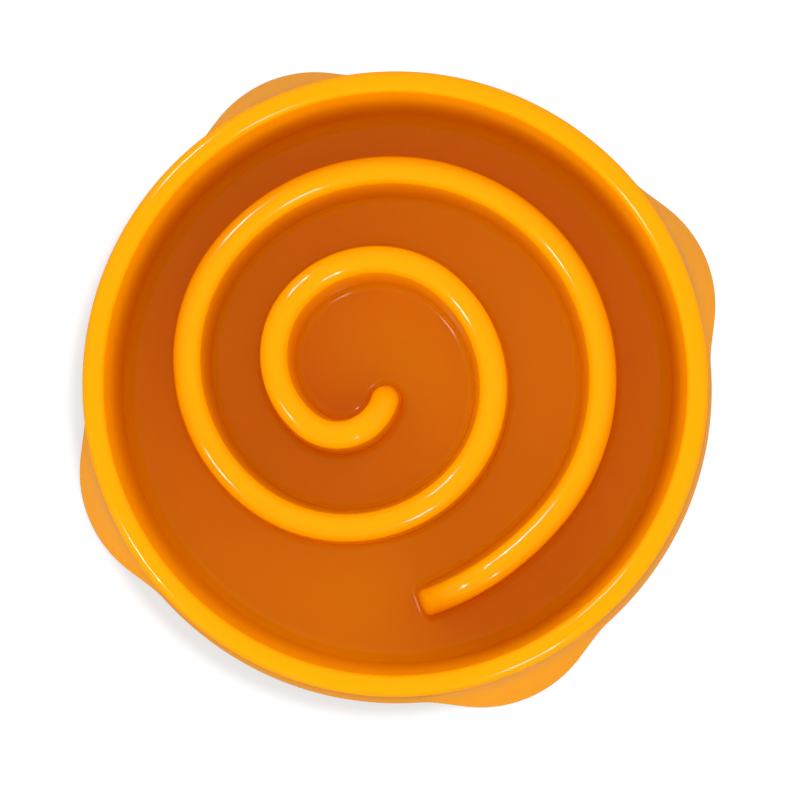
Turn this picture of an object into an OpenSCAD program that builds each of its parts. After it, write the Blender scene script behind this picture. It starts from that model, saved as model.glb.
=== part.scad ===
// Slow feeder bowl: one injection moulding with a hollow spiral ridge, on four rubber foot strips.
// Millimetres. +Z is up, the bowl stands on z = 0 and its axis is the Z axis.
// The four foot lobes lie on the X and Y axes.

/* [Bowl] */
// Diameter of the rim
rim_d = 267; // [250:1:276]
// Height of the rim above the surface that the bowl stands on
rim_h = 64; // [52:1:80]
// Width of the rim, from its outer edge to the pan
rim_w = 9; // [8:0.1:10]
// Radius of the rim's outer edge
rim_outer_round = 4.4; // [3:0.1:5]
// Radius of the rim's inner edge
rim_inner_round = 3.2; // [1:0.1:3.4]
// Wall thickness of the moulding
wall = 2.4; // [1.6:0.1:2.8]
// Height of the pan's floor above the surface that the bowl stands on
floor_h = 9; // [6:0.5:14]
// Radius between the pan's floor and its wall
floor_round = 6.5; // [3:0.5:10]
// Slope of the pan's wall from the vertical, in degrees
pan_draft = 3.5; // [2:0.5:6]
// Slope of the outer skirt from the vertical, in degrees
skirt_draft = 6.5; // [4:0.5:8]
// Gap between the skirt's lower edge and the surface that the bowl stands on
skirt_gap = 1.5; // [0.8:0.1:2.5]

/* [Foot lobes] */
// Distance from the bowl's axis to the outermost point of a lobe, at its lower edge
lobe_reach = 150; // [144:1:156]
// Radius of a lobe's rounded outline at its lower edge
lobe_r = 55.5; // [48:0.5:60]
// Slope of a lobe's wall from the vertical, in degrees
lobe_draft = 19.8; // [17:0.1:24]

/* [Spiral ridge] */
// Drop from the rim's top to the ridge's level crown
crown_drop = 13; // [8:0.5:20]
// Width of the crown between the corners that its rounding removes
crown_w = 11.2; // [11:0.1:13]
// Radius of the crown's shoulders, which nearly meet in the middle
crown_round = 5.6; // [3:0.1:5.6]
// Slope of the ridge's flanks from the vertical, in degrees
ridge_draft = 3.5; // [2:0.5:5]
// Radius between a flank and the pan's floor
foot_round = 3; // [1:0.5:4]
// Centre of the ridge's first quarter turn, along X
coil_x = -8; // [-10:0.1:-6]
// Centre of the ridge's first quarter turn, along Y
coil_y = 17.3; // [16:0.1:19]
// Direction from that centre to the start of the turn, in degrees
coil_angle = 208; // [204:1:212]
// Radius of the inner end's bend
tip_bend_r = 21; // [19:0.5:23]
// Radius of the first quarter turn of the ridge's centre line, counted from the middle
turn_r1 = 38.5; // [37:0.5:40]
// Radius of the second quarter turn
turn_r2 = 46; // [45:0.5:47]
// Radius of the third quarter turn
turn_r3 = 58; // [57:0.5:59]
// Radius of the fourth quarter turn
turn_r4 = 65; // [64:0.5:66]
// Radius of the fifth quarter turn
turn_r5 = 75.5; // [74:0.5:77]
// Radius of the sixth quarter turn
turn_r6 = 92; // [90:0.5:93]
// Radius of the seventh quarter turn
turn_r7 = 90; // [88:0.5:92]
// Radius of the outer end's bend
tail_bend_r = 131; // [120:1:140]
// Level length of the inner end's bend
tip_level = 20; // [14:1:24]
// Length over which the crown then slopes down to the ridge's inner end
tip_run = 22; // [16:1:26]
// Fall of the crown over that length
tip_fall = 9; // [4:0.5:12]
// Reach of the rounded inner end past its slope, as a share of the ridge's half width
tip_reach_share = 1; // [0.6:0.05:1]
// Level length of the outer end's bend
tail_level = 37; // [20:1:50]
// Length over which the crown then slopes down to the ridge's outer end
tail_run = 32; // [24:1:38]
// Fall of the crown over that length
tail_fall = 14; // [6:0.5:18]
// Reach of the blunt outer end past its slope, as a share of the ridge's half width
tail_reach_share = 0.6; // [0.5:0.05:1]
// Squareness of the outer end seen from above: 1 is an ellipse, less is squarer
tail_power_share = 0.65; // [0.5:0.05:1]

/* [Rubber feet] */
// Width of a foot strip
strip_w = 9; // [8:0.5:10]
// Height of a foot strip
strip_h = 4; // [3:0.5:5]
// Radius of a strip's lower edges
strip_round = 0.8; // [0.4:0.1:1.4]
// Angle of a strip, seen from the middle of its lobe's outline
strip_angle = 68; // [56:1:76]
// Gap between a strip and the lobe's wall
strip_clear = 0.4; // [0.2:0.1:0.8]
// Number of pegs on each strip
pegs = 3; // [2:1:4]
// Diameter of a peg
peg_d = 3.8; // [3:0.1:4.4]
// Length of a peg
peg_len = 8; // [5:0.5:10]
// Gap around a peg in its socket
peg_clear = 0.1; // [0.05:0.05:0.2]
// Diameter of a peg's socket boss
boss_d = 8; // [7.4:0.1:9]
// Thickness of the web behind each boss
web_t = 1.8; // [1.2:0.1:2.4]

/* [Hidden] */

bowl_color = "#FFA81A";
rubber_color = "#3A3B3D";

$fn = 144;
// Overrun of every cut past the face that it opens
over = 2;
lobes = 4;
lobe_step = 360 / lobes;
rim_r = rim_d / 2;
crown_h = rim_h - crown_drop;
lobe_x = lobe_reach - lobe_r;
socket_d = peg_d + 2 * peg_clear;
socket_depth = peg_len + wall;
boss_h = socket_depth + 2 * wall;

// Fillets at the ridge's foot run out this far below the floor's surface, so they meet it cleanly
foot_dip = foot_round / 20;

// Radius of the skirt's outer face at height z
function skirt_r(z) = rim_r + (rim_h - z) * tan(skirt_draft);
// Radius of the pan's inner face at height z
function pan_r(z) = rim_r - rim_w - (rim_h - z) * tan(pan_draft);
// Radius of a lobe's outline at height z
function lobe_outline_r(z) = lobe_r - (z - skirt_gap) * tan(lobe_draft);

// Round corners of the bowl's outlines stand this little proud of their tangent lines, so that arcs
// and lines cross cleanly
arc_proud = wall / 1200;
// An outline is a list of corners [x, y, radius], and its round corners are true arcs
function unit(v) = v / norm(v);
function corner_at(c, i) = [c[(i + len(c)) % len(c)].x, c[(i + len(c)) % len(c)].y];
function to_prev(c, i) = unit(corner_at(c, i - 1) - corner_at(c, i));
function to_next(c, i) = unit(corner_at(c, i + 1) - corner_at(c, i));
function half_angle(c, i) = acos(to_prev(c, i) * to_next(c, i)) / 2;
function arc_start(c, i) = corner_at(c, i) + to_prev(c, i) * c[i][2] / tan(half_angle(c, i));
function arc_end(c, i) = corner_at(c, i) + to_next(c, i) * c[i][2] / tan(half_angle(c, i));
function arc_centre(c, i) =
    corner_at(c, i) + unit(to_prev(c, i) + to_next(c, i)) * c[i][2] / sin(half_angle(c, i));
function turns_left(c, i) = cross(-to_prev(c, i), to_next(c, i)) > 0;

// Draws an outline whose corners are listed anticlockwise
module outline(c, proud = 0) {
    difference() {
        union() {
            polygon([for (i = [0 : len(c) - 1]) each c[i][2] > 0
                ? [arc_start(c, i), arc_end(c, i)]
                : [corner_at(c, i)]]);
            for (i = [0 : len(c) - 1])
                if (c[i][2] > 0 && turns_left(c, i))
                    translate(arc_centre(c, i)) circle(r = c[i][2] + proud);
        }
        for (i = [0 : len(c) - 1])
            if (c[i][2] > 0 && !turns_left(c, i))
                translate(arc_centre(c, i)) circle(r = c[i][2] + proud);
    }
}

// Half section of the bowl's outside, drawn in by the inset
module body_section(inset) {
    side = inset / cos(skirt_draft);
    low = inset > 0 ? -over : skirt_gap;
    outline([
        [0, low, 0],
        [skirt_r(low) - side, low, 0],
        [skirt_r(rim_h - inset) - side, rim_h - inset, rim_outer_round - inset],
        [0, rim_h - inset, 0]
    ], arc_proud);
}

// Half section of the pan's hollow, grown by the outset
module pan_section(outset) {
    side = outset / cos(pan_draft);
    low = floor_h - outset;
    outline([
        [0, low, 0],
        [pan_r(low) + side, low, floor_round + outset],
        [pan_r(rim_h) + side, rim_h, outset > 0 ? 0 : rim_inner_round],
        [rim_r + over, rim_h, 0],
        [rim_r + over, rim_h + over, 0],
        [0, rim_h + over, 0]
    ], arc_proud);
}

// The round part of the bowl: rim, skirt, pan wall and floor in one wall thickness
module round_shell() {
    rotate_extrude() difference() {
        body_section(0);
        pan_section(0);
        difference() {
            body_section(wall);
            pan_section(wall);
        }
    }
}

// A foot lobe as a solid, drawn in by the inset
module lobe(inset) {
    side = inset / cos(lobe_draft);
    low = inset > 0 ? -over : skirt_gap;
    top = rim_h - rim_w;
    translate([lobe_x, 0, low])
        cylinder(h = top - low, r1 = lobe_outline_r(low) - side, r2 = lobe_outline_r(top) - side);
}

// Places its children once on each lobe
module on_each_lobe() {
    for (i = [0 : lobes - 1])
        rotate([0, 0, i * lobe_step]) children();
}

// Angle of peg k of a strip, seen from the middle of the lobe's outline
peg_reach_share = 0.8;
function peg_angle(k) = strip_angle * peg_reach_share * (k / (pegs - 1) - 1 / 2);
strip_outer_r = lobe_outline_r(strip_h) - wall / cos(lobe_draft) - strip_clear;
strip_mid_r = strip_outer_r - strip_w / 2;
function peg_place(k) = [lobe_x + strip_mid_r * cos(peg_angle(k)), strip_mid_r * sin(peg_angle(k))];

// Bosses that hold the pegs, each with a web back to the pan, kept inside the walls
module bosses_and_webs() {
    difference() {
        intersection() {
            union() {
                for (k = [0 : pegs - 1]) {
                    p = peg_place(k);
                    translate([p.x, p.y, strip_h])
                        cylinder(h = boss_h, d = boss_d);
                    rotate([0, 0, atan2(p.y, p.x)])
                        translate([pan_r(floor_h), -web_t / 2, strip_h + wall])
                            cube([norm(p) - pan_r(floor_h), web_t, rim_h]);
                }
            }
            union() {
                lobe(wall / 2);
                rotate_extrude() body_section(wall / 2);
            }
        }
        rotate_extrude() pan_section(wall / 2);
    }
}

module peg_sockets() {
    for (k = [0 : pegs - 1]) {
        p = peg_place(k);
        translate([p.x, p.y, strip_h - over])
            cylinder(h = socket_depth + over, d = socket_d);
    }
}

// The ridge's centre line is a chain of quarter turns, all clockwise seen from above, and a bend at
// each end. It is drawn in a frame of its own, where the first turn starts on the X axis.
turn_r = [turn_r1, turn_r2, turn_r3, turn_r4, turn_r5, turn_r6, turn_r7];
turns = len(turn_r);
quarter = 90;
function turn_dir(i) = [round(cos(quarter * i)), -round(sin(quarter * i))];
function turn_centre(i) = i == 0 ? [0, 0] : turn_centre(i - 1) + (turn_r[i - 1] - turn_r[i]) * turn_dir(i);
tip_centre = turn_centre(0) + (turn_r[0] - tip_bend_r) * turn_dir(0);
tail_centre = turn_centre(turns - 1) + (turn_r[turns - 1] - tail_bend_r) * turn_dir(turns);

// Half width of the ridge at height z under a crown at height top
function ridge_half_w(z, top, inset) =
    crown_w / 2 + (top - z) * tan(ridge_draft) - inset / cos(ridge_draft);

// Cross section of the level ridge on the pan's floor, or with an inset of the hollow under it
module ridge_section(inset) {
    top = crown_h - inset;
    low = inset > 0 ? floor_h - wall - over : floor_h - wall / 2;
    half_top = ridge_half_w(top, crown_h, inset);
    half_low = ridge_half_w(low, crown_h, inset);
    half_foot = ridge_half_w(floor_h, crown_h, inset);
    flange = half_foot + 2 * foot_round;
    if (inset > 0)
        outline([
            [-half_low, low, 0],
            [half_low, low, 0],
            [half_top, top, crown_round - inset],
            [-half_top, top, crown_round - inset]
        ], arc_proud);
    else
        outline([
            [-flange, low, 0],
            [flange, low, 0],
            [flange, floor_h - 2 * foot_dip, 0],
            [half_foot, floor_h, foot_round],
            [half_top, top, crown_round],
            [-half_top, top, crown_round],
            [-half_foot, floor_h, foot_round],
            [-flange, floor_h - 2 * foot_dip, 0]
        ], arc_proud);
}

// The level ridge
module ridge_turns(inset) {
    for (i = [0 : turns - 1])
        translate(turn_centre(i))
            rotate_extrude(angle = quarter, start = -quarter * (i + 1))
                translate([turn_r[i], 0]) ridge_section(inset);
}

function along(heading) = [cos(heading), sin(heading)];
function left_of(heading) = [-sin(heading), cos(heading)];

// An end starts inside the level ridge, this far back and drawn in by this much all round
end_lap = wall / 2;
end_shy = wall / 16;

// Half of the ridge's cross section under a crown at height top, from its middle down to its foot
shoulder_steps = 3;
foot_steps = 2;
function half_section(top, inset) =
    let (
        lean = 90 - ridge_draft,
        round_r = crown_round - inset,
        sharp_w = ridge_half_w(top - inset, top, inset),
        arc_x = sharp_w - round_r * tan(lean / 2),
        foot_w = ridge_half_w(floor_h, top, inset),
        flat_w = foot_w + foot_round * tan(lean / 2),
        base = inset > end_shy ? floor_h - wall - over : floor_h - wall / 3
    )
    concat(
        [[0, top - inset]],
        [for (k = [0 : shoulder_steps]) let (a = lean * k / shoulder_steps)
            [arc_x + round_r * sin(a), top - inset - round_r * (1 - cos(a))]],
        inset > end_shy
            ? [[ridge_half_w(base, top, inset), base]]
            : concat(
                [for (k = [0 : foot_steps]) let (a = lean * (1 - k / foot_steps))
                    [flat_w - foot_round * sin(a), floor_h + foot_round * (1 - cos(a)) - foot_dip]],
                [[flat_w, base]])
    );

// A station on the bend of an end is [x, y, heading, height of the crown, inset], at the length s
// from the start of the bend. The side is 1 for an anticlockwise bend and -1 for a clockwise one.
function station(centre, r, start, side, s, top, inset) =
    let (polar = start + side * s / r * 180 / PI, p = centre + r * along(polar))
    [p.x, p.y, polar + side * quarter, top, inset];

// One row of points across the ridge at a station, from its right foot over the crown to its left foot
function row(s) = let (half = half_section(s[3], s[4]), n = len(half))
    [for (k = [1 - n : n - 1]) let (h = half[abs(k)], p = [s.x, s.y] + sign(k) * h.x * left_of(s[2]))
        [p.x, p.y, h.y]];

// The rounded end past a station: half sections set round it, drawn in by the reach share and
// squared off by the power, while the crown keeps falling at the slope that it ends with
cap_steps = 8;
function cap_rows(s, reach_share, power, slope) =
    let (half = half_section(s[3], s[4]), n = len(half), base = half[n - 1].y)
    [for (j = [1 : cap_steps - 1]) let (side = cos(180 * j / cap_steps), out = sin(180 * j / cap_steps))
        for (k = [1 : n - 1])
            let (
                h = half[k],
                ahead = h.x * reach_share * pow(out, power),
                aside = h.x * sign(side) * pow(abs(side), power),
                p = [s.x, s.y] + ahead * along(s[2]) + aside * left_of(s[2])
            )
            [p.x, p.y, base + (h.y - base) * (1 - slope * ahead / (s[3] - s[4] - base))]];

// Number of point k of half section j of the cap, whose first and last half sections are the left
// and right halves of the row that starts at point row_at
function cap_point(row_at, n, j, k) = k == 0 ? row_at + n - 1
    : j == 0 ? row_at + n - 1 + k
    : j == cap_steps ? row_at + n - 1 - k
    : row_at + 2 * n - 1 + (j - 1) * (n - 1) + k - 1;
function cap_faces(row_at, n) = concat(
    [for (j = [0 : cap_steps - 1], k = [0 : n - 2]) k == 0
        ? [cap_point(row_at, n, j, 0), cap_point(row_at, n, j, 1), cap_point(row_at, n, j + 1, 1)]
        : [cap_point(row_at, n, j, k), cap_point(row_at, n, j, k + 1),
            cap_point(row_at, n, j + 1, k + 1), cap_point(row_at, n, j + 1, k)]],
    [[for (j = [cap_steps : -1 : 0]) cap_point(row_at, n, j, n - 1)]]
);

// An end of the ridge: a level length of the bend, then a slope that steepens, then the cap
slope_steps = 8;
level_step_angle = 8;
module ridge_end(centre, r, start, side, level, run, fall, reach_share, power, inset) {
    slope_run = run - inset * (1 - reach_share);
    level_steps = ceil(level / r * 180 / PI / level_step_angle);
    stations = concat(
        [station(centre, r, start, side, -end_lap, crown_h, inset + end_shy)],
        [station(centre, r, start, side, end_lap / 4, crown_h, inset)],
        [for (k = [1 : level_steps]) station(centre, r, start, side, level * k / level_steps, crown_h, inset)],
        [for (k = [1 : slope_steps])
            let (u = slope_run * k / slope_steps)
            station(centre, r, start, side, level + u, crown_h - fall * pow(u / run, 2), inset)]
    );
    last = len(stations) - 1;
    n = len(half_section(crown_h, inset));
    m = 2 * n - 1;
    slope = 2 * fall / run * slope_run / run;
    polyhedron(
        points = concat([for (s = stations) each row(s)], cap_rows(stations[last], reach_share, power, slope)),
        faces = concat(
            [for (k = [0 : n - 2]) k < n - 2
                ? [k, m - 1 - k, m - 2 - k, k + 1]
                : [k, m - 1 - k, n - 1]],
            [for (j = [0 : last - 1], k = [0 : m - 2])
                [j * m + k, j * m + k + 1, (j + 1) * m + k + 1, (j + 1) * m + k]],
            [for (j = [0 : last - 1])
                [j * m, (j + 1) * m, (j + 1) * m + m - 1, j * m + m - 1]],
            cap_faces(last * m, n)
        ),
        convexity = 10
    );
}

// The whole ridge, or with an inset the hollow under it
module ridge(inset) {
    translate([coil_x, coil_y, 0]) rotate([0, 0, coil_angle]) {
        ridge_turns(inset);
        ridge_end(
            tip_centre, tip_bend_r, 0, 1, tip_level, tip_run, tip_fall, tip_reach_share, 1, inset
        );
        ridge_end(
            tail_centre, tail_bend_r, -quarter * turns, -1,
            tail_level, tail_run, tail_fall, tail_reach_share, tail_power_share, inset
        );
    }
}

module bowl() {
    color(bowl_color) difference() {
        union() {
            difference() {
                union() {
                    round_shell();
                    on_each_lobe() difference() {
                        lobe(0);
                        rotate_extrude() body_section(wall / 2);
                    }
                }
                on_each_lobe() difference() {
                    lobe(wall);
                    rotate_extrude() pan_section(wall);
                }
            }
            on_each_lobe() bosses_and_webs();
            ridge(0);
        }
        ridge(wall);
        on_each_lobe() peg_sockets();
    }
}

// A foot strip with its pegs, under lobe i
module non_slip_foot(i) {
    section = [
        [-strip_w / 2, 0, strip_round],
        [strip_w / 2, 0, strip_round],
        [strip_w / 2, strip_h, 0],
        [-strip_w / 2, strip_h, 0]
    ];
    color(rubber_color) rotate([0, 0, (i - 1) * lobe_step]) {
        translate([lobe_x, 0, 0]) {
            rotate([0, 0, -strip_angle / 2])
                rotate_extrude(angle = strip_angle)
                    translate([strip_mid_r, 0])
                        outline(section);
            for (side = [-1, 1])
                rotate([0, 0, side * strip_angle / 2])
                    translate([strip_mid_r, 0])
                        rotate([0, 0, side > 0 ? 0 : 180])
                            rotate_extrude(angle = 180)
                                intersection() {
                                    outline(section);
                                    square([strip_w, strip_h]);
                                }
        }
        for (k = [0 : pegs - 1]) {
            p = peg_place(k);
            translate([p.x, p.y, strip_h / 2])
                cylinder(h = strip_h / 2 + peg_len, d = peg_d);
        }
    }
}

bowl();
non_slip_foot(1);  // non_slip_foot_1
non_slip_foot(2);  // non_slip_foot_2
non_slip_foot(3);  // non_slip_foot_3
non_slip_foot(4);  // non_slip_foot_4
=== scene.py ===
# %% [markdown]
# # A slow feeder bowl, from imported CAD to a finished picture
# The bowl is one glossy orange moulding: a round pan whose floor carries a tall hollow ridge
# that spirals outwards, with four foot lobes flared out of its skirt. Four rubber strips under
# the lobes keep it from sliding. The CAD gives the frame, the sizes and the rubber strips. This
# file gives the moulding its smooth visible surface, the finishes, the light and the camera.
# Everything is worked out in millimetres, as a mould maker would, and put in as metres.

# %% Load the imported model
import math

import bmesh
import bpy
import numpy as np
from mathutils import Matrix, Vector
from mathutils.geometry import delaunay_2d_cdt


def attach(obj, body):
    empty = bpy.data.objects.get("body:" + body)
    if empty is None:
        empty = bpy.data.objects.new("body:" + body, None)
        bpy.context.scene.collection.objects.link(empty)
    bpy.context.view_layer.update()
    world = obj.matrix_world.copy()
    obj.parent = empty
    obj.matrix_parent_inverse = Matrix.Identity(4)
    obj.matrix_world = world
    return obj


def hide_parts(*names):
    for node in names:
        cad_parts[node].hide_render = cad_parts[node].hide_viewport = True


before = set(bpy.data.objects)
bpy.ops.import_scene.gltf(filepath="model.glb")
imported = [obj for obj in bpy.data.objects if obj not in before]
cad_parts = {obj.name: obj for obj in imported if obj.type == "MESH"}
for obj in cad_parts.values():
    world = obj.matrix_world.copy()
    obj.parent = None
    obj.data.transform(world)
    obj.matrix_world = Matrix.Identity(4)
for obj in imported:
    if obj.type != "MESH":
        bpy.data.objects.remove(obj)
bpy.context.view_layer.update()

MM = 0.001

# %% [markdown]
# ## The sizes
# The part's source names every size of the moulding. The same names stand here, so that a
# reader can find each surface in both files. The rim, the skirt and the pan are shapes turned
# on the bowl's axis, and the ridge is one section carried along a chain of quarter turns.

# %% Sizes in millimetres and angles in degrees
RIM_R, RIM_H, RIM_W = 133.5, 64.0, 9.0
RIM_OUTER_ROUND, RIM_INNER_ROUND = 4.4, 3.2
WALL, FLOOR_H, FLOOR_ROUND = 2.4, 9.0, 6.5
PAN_DRAFT, SKIRT_DRAFT, SKIRT_GAP = 3.5, 6.5, 1.5
LOBES, LOBE_X, LOBE_R, LOBE_DRAFT = 4, 94.5, 55.5, 19.8
CROWN_H, CROWN_W, CROWN_ROUND = 51.0, 11.2, 5.6
RIDGE_DRAFT, FOOT_ROUND = 3.5, 3.0
COIL_X, COIL_Y, COIL_ANGLE = -8.0, 17.3, 208.0
TURN_R = [38.5, 46.0, 58.0, 65.0, 75.5, 92.0, 90.0]
TIP_BEND_R, TIP_LEVEL, TIP_RUN, TIP_FALL = 21.0, 20.0, 22.0, 9.0
TIP_REACH, TIP_POWER = 1.0, 1.0
TAIL_BEND_R, TAIL_LEVEL, TAIL_RUN, TAIL_FALL = 131.0, 37.0, 32.0, 14.0
TAIL_REACH, TAIL_POWER = 0.6, 0.65
STRIP_W, STRIP_H, STRIP_ANGLE, STRIP_CLEAR = 9.0, 4.0, 68.0, 0.4
PEGS, PEG_D, PEG_LEN, PEG_CLEAR, PEG_SPREAD = 3, 3.8, 8.0, 0.1, 0.8
BOSS_D, WEB_T = 8.0, 1.8
BOSS_TOP = STRIP_H + PEG_LEN + 3 * WALL
SKIRT_STEEP = 0.15


def tan(degrees):
    """Tangent of an angle in degrees."""
    return math.tan(math.radians(degrees))


def level_width(thickness, draft):
    """Level width of a wall that leans by a draft angle: its thickness over the cosine."""
    return thickness / math.cos(math.radians(draft))


def skirt_r(z):
    """Radius of the skirt's outer face. Its two ends are those of a wall with an even draft,
    but it falls steeply at first and flares at its foot: of the whole widening, a steep share
    goes with the share of the height that is passed, and the rest with its cube."""
    passed = np.clip((RIM_H - np.asarray(z, float)) / (RIM_H - SKIRT_GAP), 0, None)
    widening = (RIM_H - SKIRT_GAP) * tan(SKIRT_DRAFT)
    return RIM_R + widening * (SKIRT_STEEP * passed + (1 - SKIRT_STEEP) * passed**3)


def pan_r(z):
    """Radius of the pan's inner face: it narrows downwards with its own draft angle."""
    return RIM_R - RIM_W - (RIM_H - z) * tan(PAN_DRAFT)


def lobe_outline_r(z):
    """Radius of a lobe's outline, a circle that shrinks upwards."""
    return LOBE_R - (z - SKIRT_GAP) * tan(LOBE_DRAFT)


print("radius of the skirt's foot:", round(float(skirt_r(SKIRT_GAP)), 2),
      "of the pan's floor:", round(pan_r(FLOOR_H), 2))

# %% [markdown]
# ## Helpers for surfaces
# Every surface here is a grid: a function of two parameters, worked out for the whole grid at
# once. A grid becomes four-sided faces by a rule of numbering alone. The pieces of the
# moulding share their edges exactly, so gathering them in one mesh and merging points that
# coincide closes all seams, and the result is one watertight skin.

# %% Grids, round corners and gathering
def grid_faces(rows, cols, closed=False):
    """Faces of a grid of points numbered row by row: each takes its point, the next one in the
    row, and the two above them. A closed grid joins its last column to its first."""
    i = np.arange(rows - 1)[:, None]
    j = np.arange(cols if closed else cols - 1)[None, :]
    k = (j + 1) % cols
    a, b, c, d = (i * cols + j, i * cols + k, (i + 1) * cols + k, (i + 1) * cols + j)
    return np.stack([a, b, c, d], -1).reshape(-1, 4)


def round_corner(before, corner, after, r, steps):
    """Arc of radius r that replaces a corner: it touches both sides, so its centre lies on the
    bisector, at r over the sine of half the corner's angle."""
    before, corner, after = (np.array(p, float) for p in (before, corner, after))
    u = (before - corner) / np.linalg.norm(before - corner)
    v = (after - corner) / np.linalg.norm(after - corner)
    half = math.acos(float(u @ v)) / 2
    centre = corner + (u + v) / np.linalg.norm(u + v) * r / math.sin(half)
    start, end = (corner + w * r / math.tan(half) - centre for w in (u, v))
    sweep = math.atan2(start[0] * end[1] - start[1] * end[0], float(start @ end))
    t = np.linspace(0, sweep, steps)[:, None]
    side = np.array([-start[1], start[0]])
    return centre + start * np.cos(t) + side * np.sin(t)


class Skin:
    """Gathers grids and loose faces as numpy arrays, until they become one mesh."""

    def __init__(self):
        self.points, self.faces, self.shares, self.count = [], [], [], 0

    def add(self, points, faces, share=0.0):
        """Adds points (n, 3), faces that number them, and the points' share of painted top light.
        """
        points = np.asarray(points, float).reshape(-1, 3)
        self.points.append(points)
        self.shares.append(np.broadcast_to(np.asarray(share, float).reshape(-1), (len(points),)))
        self.faces.append(np.asarray(faces) + self.count)
        self.count += len(points)


print("a grid of 3 by 4 points has", len(grid_faces(3, 4)), "faces")

# %% [markdown]
# ## The spiral ridge
# The ridge is what slows a dog down: a tall hollow wall with a fully rounded crown. On the real
# bowl its section hardly changes, so the natural way to make it is a profile carried along a
# path. The path is a chain of clockwise quarter turns of growing radius and a bend at each
# end. Over the last part of each bend the crown falls as a parabola, and half sections set
# round the end close it: a dome at the inner tip, a blunt squared end at the outer one.

# %% The ridge's path
def arc_stations(centre, r, start, side, lengths):
    """Points and headings on a circle: at length s the polar angle is start plus or minus
    s over r, and the heading is a right angle on from it."""
    polar = math.radians(start) + side * lengths / r
    points = centre + r * np.stack([np.cos(polar), np.sin(polar)], -1)
    return points, polar + side * math.pi / 2


def crown_heights(lengths, level, run, fall):
    """The crown stays level, then falls by the square of the share of the run that is passed."""
    return CROWN_H - fall * np.clip((lengths - level) / run, 0, None) ** 2


def ridge_path(step):
    """Stations from the inner tip to the outer end, as points, headings and crown heights.
    Each quarter turn starts where the last one stopped, so the next centre lies the difference
    of the two radii along the line to their common point."""
    points, headings, crowns = [], [], []
    centre = np.zeros(2)
    towards = np.array([1.0, 0.0])
    reach = TIP_LEVEL + TIP_RUN
    bend = np.linspace(reach, 0, round(reach / step) + 1)[:-1]
    p, h = arc_stations(centre + (TURN_R[0] - TIP_BEND_R) * towards, TIP_BEND_R, 0, 1, bend)
    points.append(p), headings.append(h + math.pi)
    crowns.append(crown_heights(bend, TIP_LEVEL, TIP_RUN, TIP_FALL))
    for i, r in enumerate(TURN_R):
        reach = r * math.pi / 2
        arc = np.linspace(0, reach, round(reach / step) + 1)[:-1]
        p, h = arc_stations(centre, r, -90 * i, -1, arc)
        points.append(p), headings.append(h), crowns.append(np.full(len(arc), CROWN_H))
        turned_by = math.pi / 2 * (i + 1)
        towards = np.array([math.cos(turned_by), -math.sin(turned_by)])
        centre = centre + (r - (TURN_R + [TAIL_BEND_R])[i + 1]) * towards
    reach = TAIL_LEVEL + TAIL_RUN
    bend = np.linspace(0, reach, round(reach / step) + 1)
    p, h = arc_stations(centre, TAIL_BEND_R, -90 * len(TURN_R), -1, bend)
    points.append(p), headings.append(h)
    crowns.append(crown_heights(bend, TAIL_LEVEL, TAIL_RUN, TAIL_FALL))
    turn = math.radians(COIL_ANGLE)
    to_part = np.array([[math.cos(turn), math.sin(turn)], [-math.sin(turn), math.cos(turn)]])
    return (np.concatenate(points) @ to_part + (COIL_X, COIL_Y),
            np.concatenate(headings) + turn, np.concatenate(crowns))


PATH_STEP, HOLLOW_STEP = 1.5, 3.0
path, heading, crown = ridge_path(PATH_STEP)
print("ridge:", len(path), "stations,",
      round(float(np.linalg.norm(np.diff(path, axis=0), axis=1).sum())), "mm long")

# %% [markdown]
# The section is drawn once as two arrays, how far a point stands from the middle and how high,
# for every crown height at once: the crown's arc, the drafted flank, and a fillet that ends
# tangent to the floor, with a last short flat step so that the floor's shading stays flat.

# %% The ridge's section
ARC_STEPS, FLANK_STEPS, FOOT_STEPS, FLAT_STEP = 12, 5, 6, 1.0


def half_section(top, inset):
    """Half of the section under crowns at heights top: distances from the middle and heights,
    one row per crown. Drawn in by the inset it is the hollow under the ridge."""
    top = np.asarray(top, float)[:, None]
    lean = 90 - RIDGE_DRAFT
    slack = level_width(inset, RIDGE_DRAFT)
    r = CROWN_ROUND - inset
    a = np.radians(np.linspace(0, lean, ARC_STEPS))[None, :]
    middle = CROWN_W / 2 + inset * tan(RIDGE_DRAFT) - slack - r * tan(lean / 2)
    x, z = middle + r * np.sin(a) + 0 * top, top - inset - r * (1 - np.cos(a))
    low = FLOOR_H if inset == 0 else FLOOR_H - WALL
    foot_w = CROWN_W / 2 + (top - low) * tan(RIDGE_DRAFT) - slack
    if inset == 0:
        a = np.radians(np.linspace(lean, 0, FOOT_STEPS))[None, :]
        flat_w = foot_w + FOOT_ROUND * tan(lean / 2)
        foot_x = np.hstack([flat_w - FOOT_ROUND * np.sin(a), flat_w + FLAT_STEP])
        foot_z = np.hstack([low + FOOT_ROUND * (1 - np.cos(a)) + 0 * top, low + 0 * top])
    else:
        foot_x, foot_z = foot_w, low + 0 * top
    t = np.linspace(0, 1, FLANK_STEPS + 2)[None, 1:-1]
    flank_x = x[:, -1:] + (foot_x[:, :1] - x[:, -1:]) * t
    flank_z = z[:, -1:] + (foot_z[:, :1] - z[:, -1:]) * t
    return (np.hstack([0 * top, x, flank_x, foot_x]),
            np.hstack([top - inset, z, flank_z, foot_z]))


print("points in half a section:", half_section([CROWN_H], 0)[0].shape[1])

# %% [markdown]
# Along the path the whole section is swept, and at each end half of it is turned round the last
# station. The squared ellipse decides how: with a power of one the end is a plain half turn, and
# with a smaller power it goes out sideways first, which leaves the blunt outer end. The hollow
# that the mould's core leaves is the same skin drawn in by the wall.

# %% The ridge's skin
CURVE_POINTS, CAP_STEPS, HOLLOW_CAP_STEPS = 6001, 40, 20


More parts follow.
